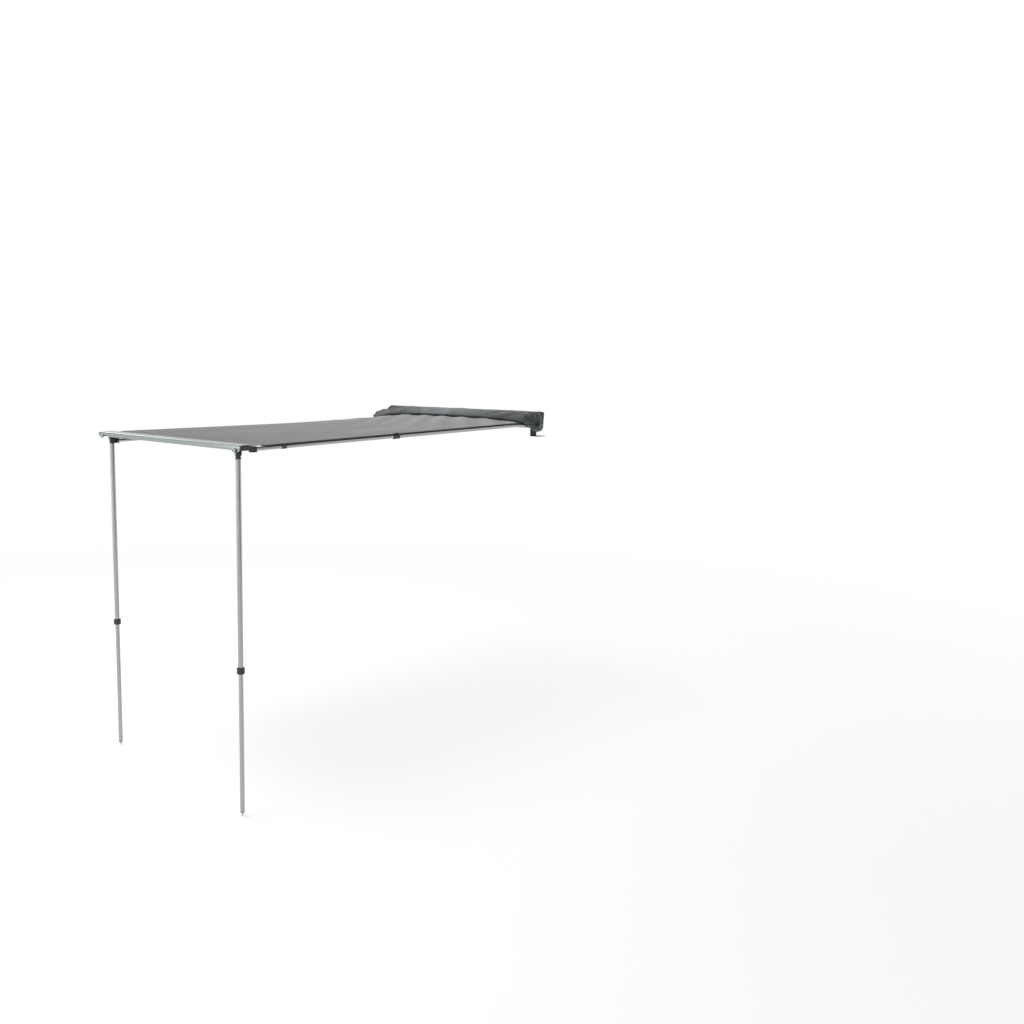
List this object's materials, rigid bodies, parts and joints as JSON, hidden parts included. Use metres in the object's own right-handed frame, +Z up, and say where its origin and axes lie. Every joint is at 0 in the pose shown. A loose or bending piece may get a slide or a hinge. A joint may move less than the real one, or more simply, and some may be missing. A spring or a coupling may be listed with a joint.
{
  "type": "vehicle side awning",
  "caption": "Pull-out side awning for a roof rack, set up: grey canopy on telescopic arms, aluminium front bar on telescopic legs, and an open fabric cover.",
  "frame": {"origin": "centre of the mounting rail's rear face, which faces the vehicle", "axes": "+Y from the awning towards the vehicle, square to the rail's rear face; +Z up; +X along the rail towards the vehicle's front; the ground is at z = -1.93"},
  "size_m": [1.4364, 2.3211, 1.9979],
  "materials": {
    "aluminium": "satin anodised",
    "black_plastic": "fine grained",
    "black_steel": "satin powder coat",
    "zinc_steel": "zinc plated",
    "canopy_cloth": "coated ripstop",
    "cover_cloth": "coated tarpaulin, soft sheen",
    "webbing": "woven"
  },
  "bodies": {
    "root": {"mounting_rail": "aluminium", "rail_cap_right": "black_plastic", "rail_cap_left": "black_plastic", "rack_bracket_right": "black_steel", "rack_bracket_left": "black_steel", "bracket_bolt_right_lower": "zinc_steel", "bracket_bolt_right_upper": "zinc_steel", "bracket_bolt_left_lower": "zinc_steel", "bracket_bolt_left_upper": "zinc_steel", "bracket_nut_right_lower": "zinc_steel", "bracket_nut_right_upper": "zinc_steel", "bracket_nut_left_lower": "zinc_steel", "bracket_nut_left_upper": "zinc_steel", "hinge_bracket_right": "black_steel", "hinge_bracket_left": "black_steel", "hinge_pin_right": "zinc_steel", "hinge_pin_left": "zinc_steel", "cover_flap": "cover_cloth", "cover_end_right": "cover_cloth", "cover_end_left": "cover_cloth", "canopy": "canopy_cloth", "canopy_bead_rail": "webbing", "canopy_hem_right": "webbing", "canopy_hem_left": "webbing", "edge_strap_right": "webbing", "edge_strap_left": "webbing"},
    "bar": {"front_bar": "aluminium", "bar_cap_right": "black_plastic", "bar_cap_left": "black_plastic", "arm_saddle_right": "aluminium", "arm_saddle_left": "aluminium", "leg_block_right": "black_plastic", "leg_block_left": "black_plastic", "leg_pin_right": "zinc_steel", "leg_pin_left": "zinc_steel", "canopy_bead_bar": "webbing", "bar_knuckle_right": "aluminium", "bar_knuckle_left": "aluminium"},
    "arm_right": {"arm_root_right": "black_plastic", "arm_outer_tube_right": "aluminium"},
    "arm_left": {"arm_root_left": "black_plastic", "arm_outer_tube_left": "aluminium"},
    "arm_collar_right": {"arm_collar_right": "black_plastic"},
    "arm_collar_left": {"arm_collar_left": "black_plastic"},
    "arm_inner_right": {"arm_inner_tube_right": "aluminium", "arm_tip_right": "black_plastic"},
    "arm_inner_left": {"arm_inner_tube_left": "aluminium", "arm_tip_left": "black_plastic"},
    "leg_right": {"leg_yoke_right": "black_plastic", "leg_upper_tube_right": "aluminium"},
    "leg_left": {"leg_yoke_left": "black_plastic", "leg_upper_tube_left": "aluminium"},
    "leg_collar_right": {"leg_collar_right": "black_plastic"},
    "leg_collar_left": {"leg_collar_left": "black_plastic"},
    "leg_lower_right": {"leg_lower_tube_right": "aluminium", "leg_foot_right": "black_plastic", "leg_spike_right": "zinc_steel"},
    "leg_lower_left": {"leg_lower_tube_left": "aluminium", "leg_foot_left": "black_plastic", "leg_spike_left": "zinc_steel"}
  },
  "joints": [
    {"name": "bar_travel", "type": "slide", "parent": "root", "child": "bar", "axis": [0, 0.9989, 0.0464], "range_m": [0, 0.85], "deforming": ["canopy", "canopy_hem_right", "canopy_hem_left", "edge_strap_right", "edge_strap_left"]},
    {"name": "arm_swing_right", "type": "hinge", "parent": "root", "child": "arm_right", "pos_m": [0.668, -0.1, -0.02295], "axis": [0, 0.0464, -0.9989], "range_deg": [0, 90]},
    {"name": "arm_swing_left", "type": "hinge", "parent": "root", "child": "arm_left", "pos_m": [-0.668, -0.1, -0.05295], "axis": [0, -0.0464, 0.9989], "range_deg": [0, 90]},
    {"name": "arm_reach_right", "type": "slide", "parent": "arm_right", "child": "arm_inner_right", "axis": [0, 0.9989, 0.0464], "range_m": [0, 0.85]},
    {"name": "arm_reach_left", "type": "slide", "parent": "arm_left", "child": "arm_inner_left", "axis": [0, 0.9989, 0.0464], "range_m": [0, 0.85]},
    {"name": "arm_lock_right", "type": "hinge", "parent": "arm_right", "child": "arm_collar_right", "pos_m": [0.668, -1.22811, -0.07541], "axis": [0, 0.9989, 0.0464], "range_deg": [0, 180]},
    {"name": "arm_lock_left", "type": "hinge", "parent": "arm_left", "child": "arm_collar_left", "pos_m": [-0.668, -1.22811, -0.10541], "axis": [0, 0.9989, 0.0464], "range_deg": [0, 180]},
    {"name": "leg_fold_right", "type": "hinge", "parent": "bar", "child": "leg_right", "pos_m": [0.652, -2.205, -0.1385], "axis": [0, 1, 0], "range_deg": [0, 89]},
    {"name": "leg_fold_left", "type": "hinge", "parent": "bar", "child": "leg_left", "pos_m": [-0.652, -2.171, -0.1385], "axis": [0, -1, 0], "range_deg": [0, 89]},
    {"name": "leg_reach_right", "type": "slide", "parent": "leg_right", "child": "leg_lower_right", "axis": [0, 0, 1], "range_m": [-0.2, 0.66]},
    {"name": "leg_reach_left", "type": "slide", "parent": "leg_left", "child": "leg_lower_left", "axis": [0, 0, 1], "range_m": [-0.2, 0.66]},
    {"name": "leg_lock_right", "type": "hinge", "parent": "leg_right", "child": "leg_collar_right", "pos_m": [0.652, -2.205, -1.1888], "axis": [0, 0, 1], "range_deg": [0, 180]},
    {"name": "leg_lock_left", "type": "hinge", "parent": "leg_left", "child": "leg_collar_left", "pos_m": [-0.652, -2.171, -1.1888], "axis": [0, 0, 1], "range_deg": [0, 180]}
  ],
  "couplings": [
    {"joint": "arm_swing_right", "follows": "bar_travel", "rad_per_m": 1.848},
    {"joint": "arm_swing_left", "follows": "bar_travel", "rad_per_m": 1.848},
    {"joint": "arm_reach_right", "follows": "bar_travel", "ratio": 1},
    {"joint": "arm_reach_left", "follows": "bar_travel", "ratio": 1}
  ]
}
